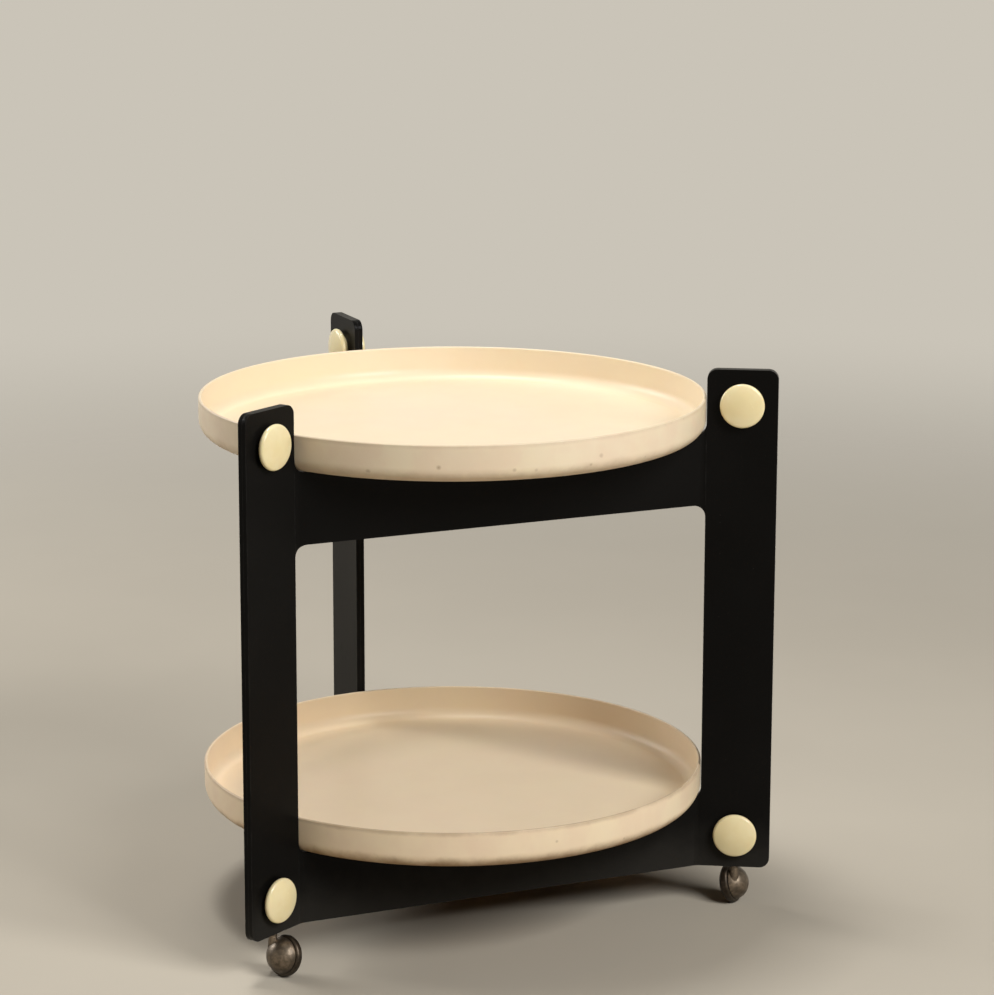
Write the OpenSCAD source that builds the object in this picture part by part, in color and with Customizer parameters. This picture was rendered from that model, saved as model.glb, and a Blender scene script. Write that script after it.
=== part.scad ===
// Round two-tier serving trolley on three fins and three ball casters, in millimetres.
// Z is up, the floor is z = 0, and the Z axis is the centre line of both round trays.
// The fins stand at 90 (rear), 210 (left) and 330 degrees (right), so one panel faces -Y.

/* [Trays] */
// Outer diameter of both trays
tray_d = 503; // [440:1:560]
// Height of a tray from its underside to the top of its rim
tray_h = 37; // [30:1:50]
// Thickness of a tray's wall and floor
tray_wall = 3; // [2:0.5:4]
// Outer radius where a tray's wall turns into its floor
tray_corner_r = 15; // [10:1:20]
// Gap between a tray and the inner edges of the fins
tray_gap = 1; // [1:0.5:6]

/* [Panels] */
// Thickness of a moulded panel
board_t = 4.5; // [4.5:0.5:7]
// Width of the fins and of both rails
strip_w = 70; // [60:1:85]
// Height of the fins
fin_h = 512; // [460:1:600]
// How far the fins stand above the upper tray's rim
fin_above_rim = 30; // [15:1:50]
// Radius of a fin's free corners
fin_corner_r = 10; // [4:1:14]
// Radius of the corners between fins and rails
window_r = 12; // [6:1:18]
// Radius of the fold between fin and rail, on the panel's outer face
fold_r = 12; // [8:1:18]

/* [Bolts and caps] */
// Diameter of a domed cap
cap_d = 44; // [36:1:52]
// Height of a cap's domed disc
cap_h = 9; // [8:0.5:12]
// Radius of a cap's rolled edge
cap_edge_r = 3; // [2:0.25:3.75]
// Diameter of the neck that carries the disc
cap_neck_d = 30; // [26:1:34]
// Height of the neck, by which the disc stands off the panel
cap_lift = 3; // [1:0.5:5]
// Thread diameter of a through bolt
bolt_d = 6; // [5:0.5:7]
// Outer diameter of the sleeve nut's barrel
sleeve_d = 8; // [8:0.5:10]
// Diameter of the flat heads under the caps
head_d = 17; // [13:0.5:20]
// Thickness of the flat heads
head_t = 2.5; // [2:0.25:3.5]
// Width across flats of the key socket in each head
key_w = 4; // [3:0.5:5]
// Depth of the key socket
key_deep = 1.8; // [1:0.1:1.9]

/* [Casters] */
// Height of the fins' lower edges above the floor
caster_h = 42; // [42:0.5:50]
// Diameter of a caster's wheel over its tread
wheel_d = 40; // [34:0.5:40]
// Depth of the wheel's dome, from the middle of the tread to its pole
wheel_dome = 10.5; // [8:0.5:13]
// Radius of the rolled edges of the tread
tread_r = 2.5; // [2:0.25:3]
// Width of the flat of the tread
tread_flat = 2.5; // [1:0.25:3.5]
// Diameter of the hood
hood_d = 36; // [32:0.5:37]
// Thickness of the hood's and the wheel's shell
shell_t = 1.8; // [1.2:0.1:2.4]
// Tilt of the axle, the hood's side up
axle_tilt = 15; // [5:1:25]
// Diameter of the axle
axle_d = 5; // [4:0.5:6]
// Trail of the wheel behind the stem
caster_trail = 9.5; // [6:0.5:12]
// Sideways offset of the wheel from the stem
wheel_offset = 6.5; // [4:0.5:8]
// Diameter of the stem
stem_d = 5.5; // [4.5:0.25:5.5]
// Wall thickness of the stem's socket
socket_wall = 0.8; // [0.6:0.1:0.8]
// Length of the socket inside the fin
socket_l = 24; // [16:1:26]
// Direction in which the left caster's wheel trails, from +X
left_heading = -64; // [-180:1:180]
// Direction in which the right caster's wheel trails
right_heading = 42; // [-180:1:180]
// Direction in which the rear caster's wheel trails
rear_heading = 160; // [-180:1:180]

/* [Clearances] */
// Radial gap round a turning shaft
run_gap = 0.05; // [0.02:0.01:0.1]
// Radial gap between pieces that are fitted and stay put
seat_gap = 0.05; // [0.02:0.01:0.2]
// Gap between faces that pass each other
face_gap = 0.3; // [0.2:0.05:0.6]
// Allowance of a bolt hole round the sleeve
hole_gap = 0.15; // [0.1:0.05:0.5]

/* [Hidden] */
$fn = 96;

// Finish colours
black_gloss = [0.05, 0.05, 0.055];
cream = [0.93, 0.85, 0.70];
ivory = [0.95, 0.88, 0.64];
zinc = [0.72, 0.72, 0.70];
bronze = [0.27, 0.23, 0.20];

// Plan directions of the fins, and of the faces of the three panels
left_fin_angle = 210;
right_fin_angle = 330;
rear_fin_angle = 90;
front_face_angle = 270;
right_face_angle = 30;
left_face_angle = 150;
// Angle by which a rail turns away from its fin
fold_angle = 30;

// Plan sizes, as distances from the Z axis
tray_r = tray_d / 2;
fin_inner = tray_r + tray_gap;
bolt_reach = fin_inner + strip_w / 2;
// The fold's centre, and the flat of the rails between two folds
fold_outer_r = fold_r + board_t;
rail_half = fin_inner * cos(fold_angle) - fold_outer_r * sin(fold_angle);
rail_inner = fin_inner * sin(fold_angle) + fold_outer_r * (cos(fold_angle) - 1);
rail_outer = rail_inner + board_t;

// Heights above the floor
fin_top = caster_h + fin_h;
lower_rail_top = caster_h + strip_w;
upper_rail_top = fin_top - fin_above_rim - tray_h;
lower_bolt_z = caster_h + strip_w / 2;
upper_bolt_z = fin_top - strip_w / 2;
bolt_heights = [lower_bolt_z, upper_bolt_z];

// Depth by which the peak of every dome is cut flat
crown_cut = 0.02;

// Caster sizes in the caster's own frame: the stem is its Z axis, the trail its +X
wheel_r = wheel_d / 2;
hood_r = hood_d / 2;
axle_r = axle_d / 2;
stem_r = stem_d / 2;
socket_r = stem_r + run_gap + socket_wall;
wheel_z = (wheel_r - tread_r) * cos(axle_tilt) + tread_flat / 2 * sin(axle_tilt) + tread_r;
// Along the axle, counted from the middle of the tread towards the hood
tread_top = tread_flat / 2 + tread_r;
hood_rim = tread_top + 2 * face_gap;
hub_wall = 2.2;
hub_r = axle_r + hub_wall;
hub_rise = 2;
hub_top = tread_top + hub_rise;
axle_end = hood_r - 2 * shell_t;
rivet_lip = 1.2;
rivet_r = axle_r + rivet_lip;
rivet_t = 1;
rivet_edge_r = 0.35;
// Down the stem, counted in heights above the floor
flange_t = 1;
flange_lip = 0.8;
flange_r = socket_r + flange_lip;
collar_t = 1.2;
collar_lip = 1.2;
collar_r = stem_r + collar_lip;
collar_top = caster_h - flange_t - face_gap;
horn_top = collar_top - collar_t;
horn_wall = 1.2;
horn_top_r = stem_r + horn_wall;
horn_foot_r = 2 * stem_r;
horn_foot = wheel_z + shell_t;
stem_hold = 5;
stem_foot = horn_top - stem_hold;
ring_h = 2;
ring_drop = 7;
ring_z = caster_h + socket_l - ring_drop;
ring_depth = 0.5;
ring_play = 0.15;

// Radius of the arc that touches a rolled edge and would peak a little above height h
function dome_radius(r, h, edge) =
    let (a = r - edge, b = h + crown_cut - edge)
    (a * a + b * b - edge * edge) / (2 * (b - edge));

// A round shape with a flat base, a rolled edge and a domed top, as half a section; the
// crown is cut flat at height h
module dome_section(r, h, edge) {
    dome = dome_radius(r, h, edge);
    centre = h + crown_cut - dome;
    a = r - edge;
    // Direction from the dome's centre through the middle of the rolled edge
    lean = atan2(a, edge - centre);
    square([a, edge]);
    translate([a, edge])
        circle(edge);
    intersection() {
        translate([0, centre])
            circle(dome, $fn = 8 * $fn);
        polygon([[0, edge], [a, edge], [a + (h - edge) * tan(lean), h], [0, h]]);
    }
}

// Puts its children in the frame of a fin: X outward, Y to the fin's left seen from above
module at_fin(angle) {
    rotate([0, 0, angle])
        children();
}

// Panels

// Plan position of a point in the right-hand fin: u outward, v towards the front
function in_plan(u, v) =
    u * [cos(fold_angle), -sin(fold_angle)] - v * [sin(fold_angle), cos(fold_angle)];

// Plan of all that lies behind one face of the front panel, out to a margin past the
// fins; the face passes both folds' centres at radius r
module behind_face(r, margin) {
    centre = in_plan(fin_inner, fold_outer_r);
    tip = fin_inner + strip_w + margin;
    half = [
        in_plan(tip, -fin_inner),
        in_plan(tip, fold_outer_r - r),
        in_plan(fin_inner, fold_outer_r - r),
        centre,
        centre + [0, r]
    ];
    difference() {
        polygon([
            for (p = half) p,
            for (i = [len(half) - 1 : -1 : 0]) [-half[i][0], half[i][1]]
        ]);
        for (side = [-1, 1])
            translate([side * centre[0], centre[1]])
                circle(r);
    }
}

// Plan of the bent sheet from fin to fin, facing -Y
module panel_plan() {
    difference() {
        behind_face(fold_r, board_t);
        behind_face(fold_outer_r, 2 * board_t);
    }
}

// The spandrel that fills or trims a corner: a square less the circle in it
module spandrel(r) {
    difference() {
        square(r);
        translate([r, r])
            circle(r);
    }
}

// Face of half a panel, seen square to its fin: X is the distance from the axis
module half_outline() {
    rail_start = rail_inner * sin(fold_angle) - board_t;
    fin_edge = fin_inner + strip_w;
    upper_foot = upper_rail_top - strip_w;
    difference() {
        translate([fin_inner, caster_h])
            square([strip_w, fin_h]);
        translate([fin_edge, fin_top])
            rotate(180)
                spandrel(fin_corner_r);
        translate([fin_inner, fin_top])
            mirror([0, 1])
                spandrel(fin_corner_r);
        translate([fin_edge, caster_h])
            mirror([1, 0])
                spandrel(fin_corner_r);
    }
    for (z = [caster_h, upper_foot])
        translate([rail_start, z])
            square([fin_inner - rail_start, strip_w]);
    for (z = [lower_rail_top, upper_rail_top])
        translate([fin_inner, z])
            mirror([1, 0])
                spandrel(window_r);
    translate([fin_inner, upper_foot])
        rotate(180)
            spandrel(window_r);
}

// The half outline as a solid that runs square through the fin and on past the rails
module half_cutter() {
    rotate([0, 0, -fold_angle])
        translate([0, 1, 0])
            rotate([90, 0, 0])
                linear_extrude(height = rail_outer + 2)
                    half_outline();
}

// Bolt holes and the groove for half of the caster's socket, in the right-hand fin
module fin_holes() {
    rotate([0, 0, -fold_angle]) {
        for (z = bolt_heights)
            translate([bolt_reach, 1, z])
                rotate([90, 0, 0])
                    cylinder(r = sleeve_d / 2 + hole_gap, h = board_t + 2);
        translate([bolt_reach, 0, caster_h - 1])
            cylinder(r = socket_r + seat_gap, h = socket_l + 1 + seat_gap);
    }
}

// One bent panel: two fins, two rails and the window between them
module panel(face) {
    color(black_gloss)
        rotate([0, 0, face - front_face_angle])
            difference() {
                intersection() {
                    translate([0, 0, caster_h])
                        linear_extrude(height = fin_h)
                            panel_plan();
                    union() {
                        half_cutter();
                        mirror([1, 0, 0])
                            half_cutter();
                    }
                }
                fin_holes();
                mirror([1, 0, 0])
                    fin_holes();
            }
}

// Trays

// Half section of a round bowl's outline, filled to the axis
module bowl_section(r, corner, h) {
    square([r - corner, h]);
    translate([0, corner])
        square([r, h - corner]);
    translate([r - corner, corner])
        circle(corner);
}

module tray(seat_z) {
    rim_r = tray_wall / 2;
    color(cream)
        translate([0, 0, seat_z])
            rotate_extrude($fn = 2 * $fn) {
                difference() {
                    bowl_section(tray_r, tray_corner_r, tray_h - rim_r);
                    translate([0, tray_wall])
                        bowl_section(tray_r - tray_wall, tray_corner_r - tray_wall, tray_h);
                }
                translate([tray_r - rim_r, tray_h - rim_r])
                    circle(rim_r);
            }
}

// Bolts, sleeve nuts and caps

// Turns a piece drawn along +Z to stand out of one face of a fin, side 1 or -1
module on_fin(angle, side, z) {
    at_fin(angle)
        translate([bolt_reach, side * board_t, z])
            rotate([-90 * side, 0, 0])
                children();
}

// Flat head with a rolled edge and a hexagon socket
module flat_head() {
    edge = head_t / 4;
    difference() {
        rotate_extrude() {
            square([head_d / 2 - edge, head_t]);
            square([head_d / 2, head_t - edge]);
            translate([head_d / 2 - edge, head_t - edge])
                circle(edge);
        }
        translate([0, 0, head_t - key_deep])
            cylinder(d = key_w / cos(30), h = key_deep + 1, $fn = 6);
    }
}

barrel_l = 2 * board_t - 1;
shank_l = 2 * board_t;

// Both bolts of a fin, put in from the face on the fin's left
module fin_bolts(angle) {
    color(zinc)
        for (z = bolt_heights)
            on_fin(angle, 1, z) {
                flat_head();
                translate([0, 0, -shank_l])
                    cylinder(r = bolt_d / 2, h = shank_l);
            }
}

// Both sleeve nuts of a fin, put in from the other face
module fin_sleeve_nuts(angle) {
    color(zinc)
        for (z = bolt_heights)
            on_fin(angle, -1, z)
                difference() {
                    union() {
                        flat_head();
                        translate([0, 0, -barrel_l])
                            cylinder(r = sleeve_d / 2, h = barrel_l);
                    }
                    translate([0, 0, -barrel_l - 1])
                        cylinder(r = bolt_d / 2 + seat_gap, h = barrel_l + 1 + seat_gap);
                }
}

// Domed cap: its neck pushes over a flat head and lies on the panel
module cap(angle, side, z) {
    color(ivory)
        on_fin(angle, side, z)
            difference() {
                rotate_extrude() {
                    translate([0, cap_lift])
                        dome_section(cap_d / 2, cap_h, cap_edge_r);
                    square([cap_neck_d / 2, cap_lift + cap_edge_r]);
                }
                translate([0, 0, -1])
                    cylinder(r = head_d / 2 + seat_gap, h = head_t + 1 + seat_gap);
            }
}

// Casters

function fin_of(name) =
    name == "left" ? left_fin_angle : name == "right" ? right_fin_angle : rear_fin_angle;

function heading_of(name) =
    name == "left" ? left_heading : name == "right" ? right_heading : rear_heading;

// The frame of a named caster: stem on Z, floor at z = 0, trail along +X
module at_caster(name) {
    angle = fin_of(name);
    translate([bolt_reach * cos(angle), bolt_reach * sin(angle), 0])
        rotate([0, 0, heading_of(name)])
            children();
}

// The frame of the axle: Z towards the hood, zero at the middle of the tread
module along_axle() {
    translate([caster_trail, wheel_offset, wheel_z])
        rotate([90 - axle_tilt, 0, 0])
            children();
}

// Flanged tube that the two panels of a fin clamp between them
module caster_socket(name) {
    color(bronze)
        at_caster(name)
            difference() {
                union() {
                    translate([0, 0, caster_h])
                        cylinder(r = socket_r, h = socket_l);
                    translate([0, 0, caster_h - flange_t])
                        cylinder(r = flange_r, h = flange_t);
                }
                translate([0, 0, caster_h - flange_t - 1])
                    cylinder(r = stem_r + run_gap, h = socket_l + flange_t + 2);
                translate([0, 0, ring_z - ring_play])
                    cylinder(r = stem_r + run_gap + socket_wall / 2, h = ring_h + 2 * ring_play);
            }
}

// Stem with its collar, and the groove for the grip ring
module caster_stem(name) {
    tip = 0.8;
    top = caster_h + socket_l - 2;
    color(bronze)
        at_caster(name)
            difference() {
                union() {
                    translate([0, 0, stem_foot])
                        cylinder(r = stem_r, h = top - tip - stem_foot);
                    translate([0, 0, top - tip])
                        cylinder(r1 = stem_r, r2 = stem_r - tip, h = tip);
                    translate([0, 0, horn_top])
                        cylinder(r = collar_r, h = collar_t);
                }
                translate([0, 0, ring_z])
                    difference() {
                        cylinder(r = stem_r + 1, h = ring_h);
                        translate([0, 0, -1])
                            cylinder(r = stem_r - ring_depth, h = ring_h + 2);
                    }
            }
}

// Split spring ring that keeps the stem in its socket
module caster_grip_ring(name) {
    split = 1.2;
    color(zinc)
        at_caster(name)
            translate([0, 0, ring_z + ring_play])
                difference() {
                    cylinder(r = stem_r + run_gap + socket_wall / 4, h = ring_h - 2 * ring_play);
                    translate([0, 0, -1])
                        cylinder(r = stem_r - ring_depth + run_gap, h = ring_h + 2);
                    translate([0, -split / 2, -1])
                        cube([2 * stem_r, split, ring_h + 2]);
                }
}

// Half-round hood with the horn that holds the stem and the boss that holds the axle
module caster_hood(name) {
    color(bronze)
        at_caster(name)
            difference() {
                union() {
                    along_axle()
                        sphere(r = hood_r);
                    translate([0, 0, horn_foot])
                        cylinder(r1 = horn_foot_r, r2 = horn_top_r, h = horn_top - horn_foot);
                }
                along_axle() {
                    difference() {
                        sphere(r = hood_r - shell_t);
                        translate([0, 0, hub_top + face_gap])
                            cylinder(r = hub_r, h = hood_r);
                    }
                    translate([0, 0, hood_rim - hood_d])
                        cylinder(r = wheel_r + 2 * face_gap, h = hood_d);
                    cylinder(r = axle_r + seat_gap, h = axle_end + seat_gap);
                }
                translate([0, 0, stem_foot - seat_gap])
                    cylinder(r = stem_r + seat_gap, h = horn_top);
            }
}

// Axle with a riveted head outside the wheel
module caster_axle(name) {
    color(bronze)
        at_caster(name)
            along_axle() {
                translate([0, 0, -wheel_dome - face_gap])
                    cylinder(r = axle_r, h = wheel_dome + face_gap + axle_end);
                translate([0, 0, -wheel_dome - face_gap])
                    mirror([0, 0, 1])
                        rotate_extrude()
                            dome_section(rivet_r, rivet_t, rivet_edge_r);
            }
}

// Bell-shaped wheel: a domed back, a rolled tread and a hub inside
module caster_wheel(name) {
    base = tread_r - tread_flat / 2;
    mouth_r = wheel_r - 2 * tread_r;
    dome = dome_radius(wheel_r, wheel_dome + base, tread_r);
    color(bronze)
        at_caster(name)
            along_axle()
                difference() {
                    union() {
                        difference() {
                            rotate_extrude() {
                                translate([0, base])
                                    mirror([0, 1])
                                        dome_section(wheel_r, wheel_dome + base, tread_r);
                                translate([mouth_r, -tread_flat / 2])
                                    square([2 * tread_r, tread_flat]);
                                translate([wheel_r - tread_r, tread_flat / 2])
                                    circle(tread_r);
                            }
                            intersection() {
                                translate([0, 0, dome - crown_cut - wheel_dome])
                                    sphere(r = dome - shell_t, $fn = 2 * $fn);
                                cylinder(r = mouth_r, h = 2 * wheel_d, center = true);
                            }
                        }
                        translate([0, 0, shell_t / 2 - wheel_dome])
                            cylinder(r = hub_r, h = hub_top + wheel_dome - shell_t / 2);
                    }
                    cylinder(r = axle_r + run_gap, h = 2 * wheel_d, center = true);
                }
}

panel(front_face_angle);  // front_panel
panel(right_face_angle);  // right_panel
panel(left_face_angle);  // left_panel
tray(upper_rail_top);  // upper_tray
tray(lower_rail_top);  // lower_tray
fin_bolts(left_fin_angle);  // left_fin_bolts
fin_bolts(right_fin_angle);  // right_fin_bolts
fin_bolts(rear_fin_angle);  // rear_fin_bolts
fin_sleeve_nuts(left_fin_angle);  // left_fin_sleeve_nuts
fin_sleeve_nuts(right_fin_angle);  // right_fin_sleeve_nuts
fin_sleeve_nuts(rear_fin_angle);  // rear_fin_sleeve_nuts
cap(left_fin_angle, 1, upper_bolt_z);  // left_upper_cap_front
cap(left_fin_angle, 1, lower_bolt_z);  // left_lower_cap_front
cap(left_fin_angle, -1, upper_bolt_z);  // left_upper_cap_side
cap(left_fin_angle, -1, lower_bolt_z);  // left_lower_cap_side
cap(right_fin_angle, -1, upper_bolt_z);  // right_upper_cap_front
cap(right_fin_angle, -1, lower_bolt_z);  // right_lower_cap_front
cap(right_fin_angle, 1, upper_bolt_z);  // right_upper_cap_side
cap(right_fin_angle, 1, lower_bolt_z);  // right_lower_cap_side
cap(rear_fin_angle, 1, upper_bolt_z);  // rear_upper_cap_left
cap(rear_fin_angle, 1, lower_bolt_z);  // rear_lower_cap_left
cap(rear_fin_angle, -1, upper_bolt_z);  // rear_upper_cap_right
cap(rear_fin_angle, -1, lower_bolt_z);  // rear_lower_cap_right
caster_socket("left");  // left_caster_socket
caster_socket("right");  // right_caster_socket
caster_socket("rear");  // rear_caster_socket
caster_stem("left");  // left_caster_stem
caster_stem("right");  // right_caster_stem
caster_stem("rear");  // rear_caster_stem
caster_grip_ring("left");  // left_caster_grip_ring
caster_grip_ring("right");  // right_caster_grip_ring
caster_grip_ring("rear");  // rear_caster_grip_ring
caster_hood("left");  // left_caster_hood
caster_hood("right");  // right_caster_hood
caster_hood("rear");  // rear_caster_hood
caster_axle("left");  // left_caster_axle
caster_axle("right");  // right_caster_axle
caster_axle("rear");  // rear_caster_axle
caster_wheel("left");  // left_caster_wheel
caster_wheel("right");  // right_caster_wheel
caster_wheel("rear");  // rear_caster_wheel
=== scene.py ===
"""Looks of a round two-tier serving trolley: finishes, floor, lamps and camera."""

import logging
import math
from collections.abc import Iterable, Sequence
from dataclasses import dataclass, field
from enum import Enum

import bpy
from mathutils import Euler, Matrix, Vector

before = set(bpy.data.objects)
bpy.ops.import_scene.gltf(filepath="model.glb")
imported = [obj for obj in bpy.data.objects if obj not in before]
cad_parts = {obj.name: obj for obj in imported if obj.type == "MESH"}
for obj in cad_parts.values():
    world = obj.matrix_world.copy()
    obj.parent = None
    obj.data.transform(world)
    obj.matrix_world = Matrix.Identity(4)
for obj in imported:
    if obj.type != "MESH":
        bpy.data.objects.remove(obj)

log = logging.getLogger("trolley")

Colour = tuple[float, float, float]
Point = tuple[float, float, float]


class Fin(Enum):
    """The three upright fins, by where they stand."""

    LEFT = "left"
    RIGHT = "right"
    REAR = "rear"


class Tier(Enum):
    """The two trays, with the height of each one's underside in metres."""

    UPPER = 0.487
    LOWER = 0.112

    @property
    def node(self) -> str:
        """Name of the tray's CAD node."""
        return f"{self.name.lower()}_tray"


def linear(red: int, green: int, blue: int) -> Colour:
    """Turns a display colour into a linear one.

    Args:
        red: Red, 0 to 255.
        green: Green, 0 to 255.
        blue: Blue, 0 to 255.

    Returns:
        The linear colour, 0 to 1.
    """
    def channel(value: int) -> float:
        """Turns one channel into its linear share."""
        share = value / 255
        return share / 12.92 if share <= 0.04045 else ((share + 0.055) / 1.055) ** 2.4
    return channel(red), channel(green), channel(blue)


def shaded(colour: Colour, share: float) -> Colour:
    """Returns a colour with each channel times a share."""
    red, green, blue = colour
    return share * red, share * green, share * blue


# Shader building


class Graph:
    """Adds nodes to one node tree and wires them together."""

    def __init__(self, tree: bpy.types.NodeTree) -> None:
        """Takes the tree that the nodes go into."""
        self.tree = tree

    def add(self, kind: str, inputs: dict[str | int, object] | None = None,
            **settings: object) -> bpy.types.Node:
        """Adds a node.

        Args:
            kind: The node's type name, without the ShaderNode prefix.
            inputs: Input sockets by name or index, each with a value or an output socket.
            **settings: Properties of the node.

        Returns:
            The new node.
        """
        node = self.tree.nodes.new(f"ShaderNode{kind}")
        for name, value in settings.items():
            setattr(node, name, value)
        for name, value in (inputs or {}).items():
            self.feed(node.inputs[name], value)
        return node

    def feed(self, socket: bpy.types.NodeSocket, value: object) -> None:
        """Links an output socket to a socket, or sets the socket's own value.

        Args:
            socket: The input socket that is fed.
            value: An output socket, a colour or a number.
        """
        if isinstance(value, bpy.types.NodeSocket):
            self.tree.links.new(value, socket)
        elif isinstance(value, tuple) and len(value) == 3 and socket.type == "RGBA":
            socket.default_value = (*value, 1.0)
        else:
            socket.default_value = value

    def math(self, operation: str, a: object, b: object = 0.0, clamp: bool = False
             ) -> bpy.types.NodeSocket:
        """Adds a Math node.

        Args:
            operation: The node's operation.
            a: The first number or socket.
            b: The second one.
            clamp: Whether the value is kept between 0 and 1.

        Returns:
            The value.
        """
        return self.add("Math", {0: a, 1: b}, operation=operation, use_clamp=clamp).outputs[0]

    def chain(self, operation: str, first: object, *others: object) -> bpy.types.NodeSocket:
        """Joins several numbers or sockets by one operation, from left to right.

        Args:
            operation: The operation, such as MULTIPLY or MAXIMUM.
            first: The first number or socket.
            *others: The ones that follow.

        Returns:
            The value.
        """
        for other in others:
            first = self.math(operation, first, other)
        return first

    def times(self, *values: object) -> bpy.types.NodeSocket:
        """Returns the product of some numbers or sockets."""
        return self.chain("MULTIPLY", *values)

    def most(self, *values: object) -> bpy.types.NodeSocket:
        """Returns the largest of some numbers or sockets."""
        return self.chain("MAXIMUM", *values)

    def length(self, *sides: object) -> bpy.types.NodeSocket:
        """Returns the root of the sum of the sides' squares."""
        squares = [self.math("POWER", side, 2.0) for side in sides]
        return self.math("SQRT", self.chain("ADD", *squares))

    def span(self, value: object, low: float, high: float, start: float = 0.0,
             end: float = 1.0) -> bpy.types.NodeSocket:
        """Maps a value smoothly from low..high to start..end.

        Args:
            value: The value or socket to map.
            low: Where the mapping starts.
            high: Where it ends.
            start: What low becomes.
            end: What high becomes.

        Returns:
            The mapped value.
        """
        node = self.add(
            "MapRange",
            {"Value": value, "From Min": low, "From Max": high, "To Min": start, "To Max": end},
            interpolation_type="SMOOTHSTEP",
        )
        return node.outputs["Result"]

    def blend(self, mask: object, a: object, b: object) -> bpy.types.NodeSocket:
        """Mixes two colours.

        Args:
            mask: How much of b shows, 0 to 1.
            a: The colour where the mask is 0.
            b: The colour where it is 1.

        Returns:
            The mixed colour.
        """
        node = self.add("Mix", data_type="RGBA", clamp_factor=True)
        self.feed(node.inputs[0], mask)
        self.feed(node.inputs[6], a)
        self.feed(node.inputs[7], b)
        return node.outputs[2]

    def lerp(self, mask: object, a: float, b: float) -> bpy.types.NodeSocket:
        """Mixes two numbers.

        Args:
            mask: How much of b shows, 0 to 1.
            a: The number where the mask is 0.
            b: The number where it is 1.

        Returns:
            The mixed number.
        """
        node = self.add("MapRange", {"Value": mask, "To Min": a, "To Max": b})
        return node.outputs["Result"]

    def place(self) -> bpy.types.NodeSocket:
        """Returns the point's place in the trolley's own frame, in metres."""
        return self.add("TexCoord").outputs["Object"]

    def noise(self, place: object, scale: float, detail: float = 2.0, rough: float = 0.5
              ) -> bpy.types.NodeSocket:
        """Adds a noise texture.

        Args:
            place: Where it is sampled.
            scale: Features in a metre.
            detail: Octaves.
            rough: Share of the fine octaves.

        Returns:
            The noise value, about 0.5 on average.
        """
        node = self.add("TexNoise", {"Vector": place, "Scale": scale, "Detail": detail,
                                     "Roughness": rough})
        return node.outputs["Fac"]


class Effect:
    """A shader node group that several finishes share. It is built on first use."""

    name = "effect"
    inputs: dict[str, float] = {}
    outputs: Sequence[str] = ("Mask",)

    def draw(self, graph: Graph, given: bpy.types.NodeSocketCollection) -> dict[str, object]:
        """Wires the inside of the group.

        Args:
            graph: The group's tree.
            given: Sockets of the group's inputs, by name.

        Returns:
            An output socket for each name in outputs.
        """
        raise NotImplementedError

    def tree(self) -> bpy.types.NodeTree:
        """Returns the group's tree, and builds it the first time."""
        found = bpy.data.node_groups.get(self.name)
        if found:
            return found
        tree = bpy.data.node_groups.new(self.name, "ShaderNodeTree")
        for label, value in self.inputs.items():
            socket = tree.interface.new_socket(label, in_out="INPUT",
                                               socket_type="NodeSocketFloat")
            socket.default_value = value
        for label in self.outputs:
            tree.interface.new_socket(label, in_out="OUTPUT", socket_type="NodeSocketFloat")
        enter = tree.nodes.new("NodeGroupInput")
        leave = tree.nodes.new("NodeGroupOutput")
        drawn = self.draw(Graph(tree), enter.outputs)
        for label, socket in drawn.items():
            tree.links.new(socket, leave.inputs[label])
        return tree

    def use(self, graph: Graph, **values: float) -> bpy.types.NodeSocket:
        """Places the group in a material.

        Args:
            graph: The material's tree.
            **values: Input values by name, with underscores for spaces.

        Returns:
            The group's first output.
        """
        node = graph.tree.nodes.new("ShaderNodeGroup")
        node.node_tree = self.tree()
        for label, value in values.items():
            graph.feed(node.inputs[label.replace("_", " ").title()], value)
        return node.outputs[0]


class Unevenness(Effect):
    """Slow waves and a fine skin that a moulded surface keeps."""

    name = "moulded_unevenness"
    inputs = {"Wave Scale": 9.0, "Skin Scale": 420.0, "Skin Share": 0.25}
    outputs = ("Height",)

    def draw(self, graph: Graph, given: bpy.types.NodeSocketCollection) -> dict[str, object]:
        """Adds fine noise to broad noise."""
        place = graph.place()
        wave = graph.noise(place, given["Wave Scale"], 1.0)
        skin = graph.noise(place, given["Skin Scale"], 2.0)
        return {"Height": graph.math("ADD", wave, graph.times(skin, given["Skin Share"]))}


class Scuffs(Effect):
    """Fine scratches in two crossing directions, gathered in patches."""

    name = "fine_scuffs"
    inputs = {"Scale": 60.0, "Stretch": 26.0, "Amount": 0.5}

    def draw(self, graph: Graph, given: bpy.types.NodeSocketCollection) -> dict[str, object]:
        """Draws long thin cells at two slants and keeps them in patches."""
        place = graph.place()
        lines: object = None
        for turn in ((0.3, 0.9, 0.4), (1.2, -0.5, 2.1)):
            slant = graph.add("Mapping", {"Vector": place, "Rotation": turn}, vector_type="POINT")
            parts = graph.add("SeparateXYZ", {0: slant.outputs[0]})
            long = graph.add("CombineXYZ", {
                0: graph.math("DIVIDE", parts.outputs[0], given["Stretch"]),
                1: parts.outputs[1], 2: parts.outputs[2]})
            grain = graph.noise(long.outputs[0], given["Scale"], 3.0, 0.6)
            line = graph.span(grain, 0.64, 0.70)
            lines = line if lines is None else graph.most(lines, line)
        patch = graph.span(graph.noise(place, 14.0, 2.0), 0.45, 0.62)
        return {"Mask": graph.times(lines, patch, given["Amount"])}


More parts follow.
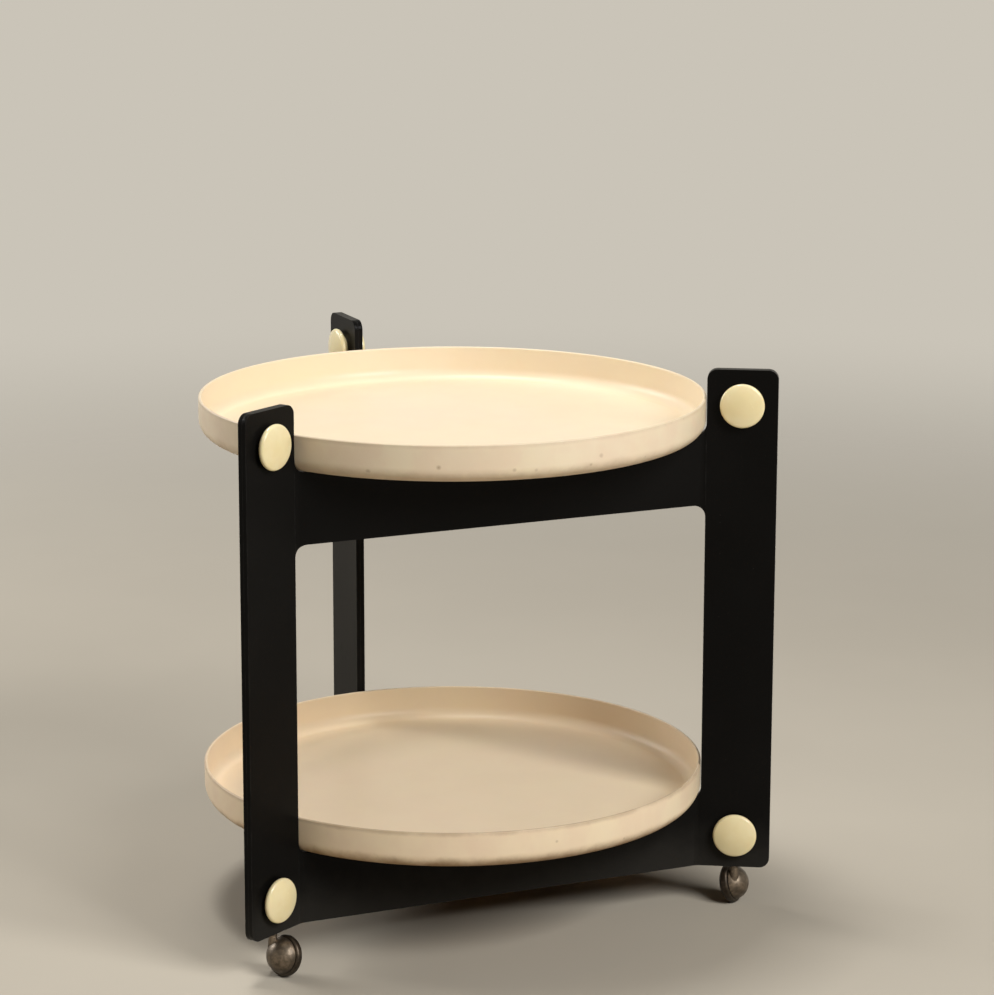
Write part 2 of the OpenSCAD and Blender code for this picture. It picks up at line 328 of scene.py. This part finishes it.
class Specks(Effect):
    """Scattered specks of dust and dirt of mixed sizes."""

    name = "dust_specks"
    inputs = {"Scale": 160.0, "Size": 0.16, "Share": 0.14, "Amount": 0.6}

    def draw(self, graph: Graph, given: bpy.types.NodeSocketCollection) -> dict[str, object]:
        """Keeps the middles of a few cells of a cell texture."""
        cells = graph.add("TexVoronoi", {"Vector": graph.place(), "Scale": given["Scale"]})
        chance = graph.add("SeparateColor", {0: cells.outputs["Color"]})
        picked = graph.math("LESS_THAN", chance.outputs[0], given["Share"])
        size = graph.times(given["Size"], graph.math("ADD", chance.outputs[1], 0.2))
        near = graph.math("SUBTRACT", size, cells.outputs["Distance"])
        dot = graph.math("DIVIDE", near, given["Size"], clamp=True)
        return {"Mask": graph.times(dot, picked, given["Amount"])}


class EdgeWearAndHighlight(Effect):
    """Rounded edges, lightened as rubbed wear and, on the black panels, also as a painted edge
    highlight: there the rounded normal leans away from the face's own.
    """

    name = "edge_wear_and_highlight"
    inputs = {"Radius": 0.0012, "Amount": 1.0}

    def draw(self, graph: Graph, given: bpy.types.NodeSocketCollection) -> dict[str, object]:
        """Compares the rounded normal with the plain one, broken up by noise."""
        rounded = graph.add("Bevel", {"Radius": given["Radius"]}, samples=6)
        plain = graph.add("NewGeometry")
        same = graph.add("VectorMath", {0: rounded.outputs[0], 1: plain.outputs["Normal"]},
                         operation="DOT_PRODUCT")
        lean = graph.span(same.outputs["Value"], 0.99, 0.82)
        patch = graph.span(graph.noise(graph.place(), 55.0, 3.0, 0.65), 0.38, 0.62, 0.25, 1.0)
        return {"Mask": graph.times(lean, patch, given["Amount"])}


class Grime(Effect):
    """Dirt that thickens between two heights, with a ragged edge."""

    name = "settled_grime"
    inputs = {"Clean Height": 0.02, "Dirty Height": 0.0, "Ragged": 0.006, "Amount": 1.0}

    def draw(self, graph: Graph, given: bpy.types.NodeSocketCollection) -> dict[str, object]:
        """Shifts the height by noise and maps it between the two heights."""
        place = graph.place()
        height = graph.add("SeparateXYZ", {0: place}).outputs[2]
        cloud = graph.math("SUBTRACT", graph.noise(place, 38.0, 4.0, 0.6), 0.5)
        ragged = graph.times(cloud, given["Ragged"])
        level = graph.add("MapRange", {
            "Value": graph.math("ADD", height, ragged), "From Min": given["Clean Height"],
            "From Max": given["Dirty Height"]}, interpolation_type="SMOOTHSTEP")
        return {"Mask": graph.times(level.outputs["Result"], given["Amount"])}


class Patches(Effect):
    """Broad soft patches in which a colour drifts."""

    name = "broad_patches"
    inputs = {"Scale": 6.0, "Amount": 1.0}

    def draw(self, graph: Graph, given: bpy.types.NodeSocketCollection) -> dict[str, object]:
        """Maps broad noise to a soft mask."""
        cloud = graph.noise(graph.place(), given["Scale"], 3.0, 0.55)
        return {"Mask": graph.times(graph.span(cloud, 0.36, 0.64), given["Amount"])}


class ShellOutside(Effect):
    """The outside of a round tray's shell: beyond the middle of its wall, corner and floor."""

    name = "shell_outside"
    inputs = {"Foot": 0.0, "Straight": 0.236, "Corner": 0.015, "Middle": 0.0135}
    sharpness = 1500.0

    def draw(self, graph: Graph, given: bpy.types.NodeSocketCollection) -> dict[str, object]:
        """Measures how far the point is from the round line at the middle of the corner."""
        part = graph.add("SeparateXYZ", {0: graph.place()})
        reach = graph.length(part.outputs[0], part.outputs[1])
        out = graph.most(graph.math("SUBTRACT", reach, given["Straight"]), 0.0)
        level = graph.math("ADD", given["Foot"], given["Corner"])
        down = graph.most(graph.math("SUBTRACT", level, part.outputs[2]), 0.0)
        beyond = graph.math("SUBTRACT", graph.length(out, down), given["Middle"])
        return {"Mask": graph.math("MULTIPLY", beyond, self.sharpness, clamp=True)}


# Finishes


@dataclass(frozen=True)
class Finish:
    """A named material with a base colour and a gloss."""

    name: str
    colour: Colour
    roughness: float

    def shade(self, graph: Graph, shader: bpy.types.Node) -> None:
        """Wires the finish into its Principled shader."""
        raise NotImplementedError

    def material(self) -> bpy.types.Material:
        """Returns the finish as a material, and builds it the first time."""
        found = bpy.data.materials.get(self.name)
        if found:
            return found
        material = bpy.data.materials.new(self.name)
        material.use_nodes = True
        graph = Graph(material.node_tree)
        shader = material.node_tree.nodes["Principled BSDF"]
        shader.inputs["Base Color"].default_value = (*self.colour, 1.0)
        shader.inputs["Roughness"].default_value = self.roughness
        self.shade(graph, shader)
        material.diffuse_color = (*self.colour, 1.0)
        return material

    def gloss(self, graph: Graph, shader: bpy.types.Node, cloud: object, drift: float,
              dull: object, loss: float) -> None:
        """Feeds the shader's roughness.

        Args:
            graph: The material's tree.
            shader: Its Principled shader.
            cloud: Mask over which the roughness drifts.
            drift: Roughness added at the full mask.
            dull: Mask of what dulls the surface.
            loss: Roughness added where it is dull.
        """
        even = graph.lerp(cloud, self.roughness, self.roughness + drift)
        graph.feed(shader.inputs["Roughness"], graph.math("ADD", even, graph.times(dull, loss)))

    def milk(self, shader: bpy.types.Node, weight: float, reach: Colour) -> None:
        """Lets light into the surface, as pale plastic does.

        Args:
            shader: The material's Principled shader.
            weight: Share of the light that goes in.
            reach: How far red, green and blue go, in metres.
        """
        shader.inputs["Subsurface Weight"].default_value = weight
        shader.inputs["Subsurface Radius"].default_value = reach
        shader.inputs["Subsurface Scale"].default_value = 0.5

    def coat(self, shader: bpy.types.Node, weight: float, roughness: float) -> None:
        """Lays a clear coat of a weight and a roughness over the surface."""
        shader.inputs["Coat Weight"].default_value = weight
        shader.inputs["Coat Roughness"].default_value = roughness

    def bump(self, graph: Graph, shader: bpy.types.Node, depth: float, **scales: float) -> None:
        """Gives the shader's normal the unevenness of a moulded or cast surface.

        Args:
            graph: The material's tree.
            shader: Its Principled shader.
            depth: Depth of a full height, in metres.
            **scales: Input values of the unevenness.
        """
        height = Unevenness().use(graph, **scales)
        node = graph.add("Bump", {"Height": height, "Strength": 1.0, "Distance": depth})
        graph.feed(shader.inputs["Normal"], node.outputs["Normal"])


@dataclass(frozen=True)
class BlackPlastic(Finish):
    """Black moulded sheet with a satin gloss, dust and hairline scuffs."""

    dust: Colour = linear(120, 116, 108)
    worn_edge_and_highlight: Colour = linear(62, 61, 60)

    def shade(self, graph: Graph, shader: bpy.types.Node) -> None:
        """Adds patches of haze, dust, scuffs, and edges lightened partly as rubbed wear and partly
        as a painted edge highlight.
        """
        haze = Patches().use(graph, scale=5.0)
        scuffs = Scuffs().use(graph, scale=70.0, stretch=30.0, amount=0.4)
        specks = Specks().use(graph, scale=240.0, size=0.12, amount=0.16)
        wear = EdgeWearAndHighlight().use(graph, radius=0.0013, amount=0.5)
        settled = Grime().use(graph, clean_height=0.10, dirty_height=0.04, ragged=0.03, amount=0.10)
        colour = graph.blend(haze, self.colour, tuple(1.3 * c + 0.0004 for c in self.colour))
        # Rounded edges lightened: partly rubbed wear, partly a painted highlight along the edges.
        colour = graph.blend(wear, colour, self.worn_edge_and_highlight)
        colour = graph.blend(graph.most(specks, settled), colour, self.dust)
        graph.feed(shader.inputs["Base Color"], colour)
        self.gloss(graph, shader, haze, 0.06, graph.most(scuffs, specks, settled), 0.22)
        shader.inputs["Specular IOR Level"].default_value = 0.06
        self.bump(graph, shader, 0.0016, wave_scale=7.0, skin_scale=600.0, skin_share=0.06)


@dataclass(frozen=True)
class CreamPlastic(Finish):
    """Cream gloss plastic of a tray, soiled outside along its foot and under its rim."""

    foot: float = 0.0
    depth: float = 0.037
    foot_band: float = 0.014
    rim_band: float = 0.005
    soiled: float = 0.5
    drift: Colour = linear(246, 227, 191)
    blush: Colour = linear(238, 208, 180)
    soil: Colour = linear(134, 96, 50)

    def shade(self, graph: Graph, shader: bpy.types.Node) -> None:
        """Adds colour drift, soiled edges and small stains on the outside."""
        drift = Patches().use(graph, scale=4.5, amount=0.5)
        blush = Patches().use(graph, scale=23.0, amount=0.35)
        outside = ShellOutside().use(graph, foot=self.foot)
        low = Grime().use(graph, clean_height=self.foot + self.foot_band,
                          dirty_height=self.foot + 0.001, ragged=0.012, amount=self.soiled)
        rim = self.foot + self.depth
        high = Grime().use(graph, clean_height=rim - self.rim_band, dirty_height=rim + 0.001,
                           ragged=0.006, amount=0.5 * self.soiled)
        stains = Specks().use(graph, scale=90.0, size=0.3, share=0.14, amount=0.7)
        soil = graph.times(graph.most(low, high, stains), outside)
        colour = graph.blend(drift, self.colour, self.drift)
        blushed = graph.times(blush, graph.lerp(outside, 0.3, 1.0))
        colour = graph.blend(blushed, colour, self.blush)
        colour = graph.blend(soil, colour, self.soil)
        graph.feed(shader.inputs["Base Color"], colour)
        self.gloss(graph, shader, drift, 0.05, soil, 0.3)
        shader.inputs["Specular IOR Level"].default_value = 0.4
        self.milk(shader, 0.06, (0.004, 0.0025, 0.0012))
        self.bump(graph, shader, 0.0012, wave_scale=8.0, skin_scale=500.0, skin_share=0.05)


@dataclass(frozen=True)
class IvoryPlastic(Finish):
    """Polished ivory plastic of the caps, yellowed in places."""

    yellowed: Colour = linear(248, 228, 173)
    soil: Colour = linear(120, 92, 48)

    def shade(self, graph: Graph, shader: bpy.types.Node) -> None:
        """Adds yellowed patches, hairline scuffs and a few specks."""
        drift = Patches().use(graph, scale=34.0, amount=0.8)
        specks = Specks().use(graph, scale=260.0, size=0.12, amount=0.35)
        scuffs = Scuffs().use(graph, scale=210.0, stretch=14.0, amount=0.3)
        colour = graph.blend(drift, self.colour, self.yellowed)
        colour = graph.blend(specks, colour, self.soil)
        graph.feed(shader.inputs["Base Color"], colour)
        self.gloss(graph, shader, drift, 0.04, scuffs, 0.25)
        self.milk(shader, 0.1, (0.005, 0.003, 0.0012))
        self.coat(shader, 0.25, 0.06)
        self.bump(graph, shader, 0.0004, wave_scale=45.0, skin_scale=900.0, skin_share=0.05)


@dataclass(frozen=True)
class BronzeLacquer(Finish):
    """Dark bronzed metal under clear lacquer, rubbed on its edges, with painted shade that darkens
    it towards its silhouette.
    """

    bright: Colour = linear(164, 148, 124)
    dust: Colour = linear(92, 84, 72)
    painted_rim_shade: float = 0.55

    def shade(self, graph: Graph, shader: bpy.types.Node) -> None:
        """Adds toning, dark blotches, rubbed edges, floor dust and painted shade that darkens the
        colour towards the silhouette.
        """
        toning = Patches().use(graph, scale=60.0)
        wear = EdgeWearAndHighlight().use(graph, radius=0.0010, amount=0.6)
        scuffs = Scuffs().use(graph, scale=260.0, stretch=10.0, amount=0.6)
        dust = Grime().use(graph, clean_height=0.016, dirty_height=0.001, ragged=0.012, amount=0.35)
        blotches = Patches().use(graph, scale=210.0, amount=0.55)
        colour = graph.blend(toning, self.colour, shaded(self.colour, 1.8))
        colour = graph.blend(blotches, colour, shaded(self.colour, 0.35))
        colour = graph.blend(graph.most(wear, scuffs), colour, self.bright)
        colour = graph.blend(dust, colour, self.dust)
        # Painted shade: by the viewing angle, the colour darkens where the surface turns away from
        # the view.
        edge = graph.add("LayerWeight", {"Blend": 0.35})
        rim_shade_mask = graph.times(edge.outputs["Facing"], self.painted_rim_shade)
        colour = graph.blend(rim_shade_mask, colour, shaded(self.colour, 0.25))
        graph.feed(shader.inputs["Base Color"], colour)
        graph.feed(shader.inputs["Metallic"], graph.lerp(dust, 0.8, 0.2))
        self.gloss(graph, shader, blotches, 0.2, dust, 0.4)
        self.coat(shader, 0.08, 0.2)
        self.bump(graph, shader, 0.0003, wave_scale=90.0, skin_scale=1400.0, skin_share=0.2)


@dataclass(frozen=True)
class ZincPlate(Finish):
    """Zinc plated steel, dulled in patches."""

    dulled: Colour = linear(140, 138, 130)

    def shade(self, graph: Graph, shader: bpy.types.Node) -> None:
        """Adds dull patches and fine scuffs."""
        dull = Patches().use(graph, scale=120.0, amount=0.8)
        scuffs = Scuffs().use(graph, scale=400.0, stretch=8.0, amount=0.6)
        graph.feed(shader.inputs["Base Color"], graph.blend(dull, self.colour, self.dulled))
        graph.feed(shader.inputs["Metallic"], graph.lerp(dull, 1.0, 0.9))
        self.gloss(graph, shader, dull, 0.15, scuffs, 0.15)
        self.bump(graph, shader, 0.0002, wave_scale=160.0, skin_scale=2200.0, skin_share=0.3)


# Sub-assemblies


@dataclass
class SubAssembly:
    """Some CAD nodes that share a finish and the rounding of their edges."""

    finish: Finish
    edge_round: float = 0.0
    edge_steps: int = 2
    edge_angle: float = math.radians(28)
    weld: float = 0.00001

    def nodes(self) -> Iterable[str]:
        """Names of the CAD nodes."""
        raise NotImplementedError

    def dress(self) -> None:
        """Gives each node its finish, joins its split edges and softens its sharp ones."""
        material = self.finish.material()
        for name in self.nodes():
            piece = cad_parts[name]
            piece.data.materials.clear()
            piece.data.materials.append(material)
            self.smooth(piece)

    def smooth(self, piece: bpy.types.Object) -> None:
        """Joins a piece's split edges and, where a rounding is given, rounds its sharp ones with
        hardened normals.
        """
        weld = piece.modifiers.new("joined", "WELD")
        weld.merge_threshold = self.weld
        if self.edge_round:
            bevel = piece.modifiers.new("rounded", "BEVEL")
            bevel.width = self.edge_round
            bevel.segments = self.edge_steps
            bevel.limit_method = "ANGLE"
            bevel.angle_limit = self.edge_angle
            bevel.harden_normals = True
            bevel.use_clamp_overlap = True


@dataclass
class Panels(SubAssembly):
    """The three bent black panels."""

    def nodes(self) -> Iterable[str]:
        """Names of the three panels."""
        return ("front_panel", "right_panel", "left_panel")


@dataclass
class Tray(SubAssembly):
    """One round tray."""

    tier: Tier = Tier.UPPER

    def nodes(self) -> Iterable[str]:
        """Name of the tray."""
        return (self.tier.node,)


@dataclass
class Caps(SubAssembly):
    """The domed caps on both faces of every fin."""

    def nodes(self) -> Iterable[str]:
        """Names of all caps."""
        faces = {Fin.LEFT: ("front", "side"), Fin.RIGHT: ("front", "side"),
                 Fin.REAR: ("left", "right")}
        return [f"{fin.value}_{height}_cap_{face}"
                for fin, sides in faces.items() for height in ("upper", "lower") for face in sides]


@dataclass
class Fasteners(SubAssembly):
    """Through bolts, sleeve nuts and the casters' grip rings."""

    def nodes(self) -> Iterable[str]:
        """Names of the plated steel pieces."""
        kinds = ("fin_bolts", "fin_sleeve_nuts", "caster_grip_ring")
        return [f"{fin.value}_{kind}" for fin in Fin for kind in kinds]


@dataclass
class Casters(SubAssembly):
    """Bronzed pieces of the three ball casters."""

    kinds: Sequence[str] = ("socket", "stem", "hood", "axle")

    def nodes(self) -> Iterable[str]:
        """Names of the pieces of each kind, one for every fin."""
        return [f"{fin.value}_caster_{kind}" for fin in Fin for kind in self.kinds]


# Studio


@dataclass(frozen=True)
class Lamp:
    """An area lamp that looks at the middle of the trolley."""

    name: str
    place: Point
    width: float
    power: float
    target: Point = (0.0, 0.0, 0.35)
    colour: Colour = (1.0, 1.0, 1.0)

    def hang(self) -> bpy.types.Object:
        """Adds the lamp to the scene."""
        data = bpy.data.lights.new(self.name, "AREA")
        data.shape = "SQUARE"
        data.size = self.width
        data.energy = self.power
        data.color = self.colour
        lamp = bpy.data.objects.new(self.name, data)
        lamp.location = self.place
        aim = Vector(self.target) - Vector(self.place)
        lamp.rotation_euler = aim.to_track_quat("-Z", "Y").to_euler()
        bpy.context.scene.collection.objects.link(lamp)
        return lamp


@dataclass
class Studio:
    """Pale floor that fades into a pale backdrop, soft lamps and the camera."""

    floor_half: float = 6.0
    floor_colour: Colour = linear(196, 187, 171)
    floor_mottle: float = 0.93
    floor_fade: tuple[float, float] = (0.9, 3.4)
    sky: Colour = (1.0, 1.0, 1.0)
    sky_strength: float = 0.025
    backdrop_shade: Colour = linear(202, 196, 184)
    lamps: Sequence[Lamp] = field(default_factory=tuple)
    camera_place: Point = (-1.3240, -3.1030, 1.1948)
    camera_turn: Point = (77.017, -0.1247, -23.8312)
    focal: float = 125.53
    sensor: float = 36.0
    sight: float = 60.0

    def build(self) -> None:
        """Builds the studio and sets the view."""
        self.floor()
        self.world()
        for lamp in self.lamps:
            lamp.hang()
            log.info("lamp %s", lamp.name)
        self.camera()
        bpy.context.scene.view_settings.view_transform = "Standard"

    def floor(self) -> None:
        """Lays a plane with a faint mottle that fades into the backdrop with distance."""
        half = self.floor_half
        corners = [(-half, -half, 0), (half, -half, 0), (half, half, 0), (-half, half, 0)]
        mesh = bpy.data.meshes.new("floor")
        mesh.from_pydata(corners, [], [(0, 1, 2, 3)])
        plane = bpy.data.objects.new("floor", mesh)
        bpy.context.scene.collection.objects.link(plane)
        material = bpy.data.materials.new("floor_paint")
        material.use_nodes = True
        graph = Graph(material.node_tree)
        shader = material.node_tree.nodes["Principled BSDF"]
        mottle = Patches().use(graph, scale=2.2, amount=0.35)
        dark = shaded(self.floor_colour, self.floor_mottle)
        graph.feed(shader.inputs["Base Color"], graph.blend(mottle, self.floor_colour, dark))
        shader.inputs["Roughness"].default_value = 0.9
        shader.inputs["Specular IOR Level"].default_value = 0.0
        out = material.node_tree.nodes["Material Output"]
        reach = graph.add("VectorMath", {0: graph.place()}, operation="LENGTH")
        mask = graph.span(reach.outputs["Value"], *self.floor_fade)
        clear = graph.add("BsdfTransparent")
        mix = graph.add("MixShader", {0: mask, 1: shader.outputs[0], 2: clear.outputs[0]})
        graph.feed(out.inputs["Surface"], mix.outputs[0])
        mesh.materials.append(material)

    def world(self) -> None:
        """Sets an even sky, and a pale colour where the camera or gloss sees it."""
        world = bpy.data.worlds.new("studio")
        bpy.context.scene.world = world
        world.use_nodes = True
        tree = world.node_tree
        tree.nodes.clear()
        graph = Graph(tree)
        light = graph.add("Background", {"Color": self.sky, "Strength": self.sky_strength})
        seen = graph.add("Background", {"Color": self.backdrop_shade, "Strength": 1.0})
        path = graph.add("LightPath")
        looks = graph.most(path.outputs["Is Camera Ray"], path.outputs["Is Glossy Ray"],
                           path.outputs["Is Transmission Ray"])
        mix = graph.add("MixShader", {0: looks, 1: light.outputs[0], 2: seen.outputs[0]})
        graph.add("OutputWorld", {"Surface": mix.outputs[0]})

    def camera(self) -> None:
        """Places the camera of the photograph."""
        data = bpy.data.cameras.new("camera")
        data.sensor_fit = "HORIZONTAL"
        data.sensor_width = self.sensor
        data.lens = self.focal
        data.clip_end = self.sight
        camera = bpy.data.objects.new("camera", data)
        camera.location = self.camera_place
        camera.rotation_euler = Euler([math.radians(a) for a in self.camera_turn], "XYZ")
        bpy.context.scene.collection.objects.link(camera)
        bpy.context.scene.camera = camera


def sub_assemblies() -> list[SubAssembly]:
    """Returns the trolley's sub-assemblies, each with its finish."""
    black = BlackPlastic("black_satin_plastic", linear(13, 12, 11), 0.28)
    ivory = IvoryPlastic("ivory_cap_plastic", linear(253, 236, 188), 0.2)
    bronze = BronzeLacquer("bronze_lacquer", linear(107, 95, 81), 0.36)
    tread = BronzeLacquer("dark_bronze_tread", linear(62, 53, 43), 0.42)
    zinc = ZincPlate("zinc_plate", linear(196, 195, 188), 0.32)
    parts: list[SubAssembly] = [Panels(black, edge_round=0.0013, edge_steps=3)]
    creams = {Tier.UPPER: (linear(247, 229, 199), 0.42),
              Tier.LOWER: (linear(251, 228, 195), 0.85)}
    for tier, (colour, soiled) in creams.items():
        cream = CreamPlastic(f"cream_plastic_{tier.name.lower()}", colour, 0.37, foot=tier.value,
                             soiled=soiled)
        parts.append(Tray(cream, tier=tier))
    parts += [
        Caps(ivory),
        Fasteners(zinc, edge_round=0.00015),
        Casters(bronze, edge_round=0.0003),
        Casters(tread, edge_round=0.0003, kinds=("wheel",)),
    ]
    return parts


def write_sizes() -> None:
    """Defines how a box's two corners become plain lists; it writes nothing."""
    def plain(box: object) -> list[list[float]]:
        """Turns a box's two corners into lists."""
        low, high = box
        return [[float(v) for v in low], [float(v) for v in high]]


def main() -> None:
    """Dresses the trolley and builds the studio."""
    logging.basicConfig(level=logging.INFO, format="%(name)s: %(message)s")
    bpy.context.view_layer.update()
    for part in sub_assemblies():
        part.dress()
    Studio(lamps=(
        Lamp("overhead", (-0.36, 0.49, 3.8), 0.8, 60.0),
        Lamp("key", (1.0, -2.76, 2.26), 1.6, 99.0),
        Lamp("rear", (-2.1, 2.41, 1.77), 1.6, 62.0),
    )).build()
    write_sizes()


if __name__ == "__main__":
    main()
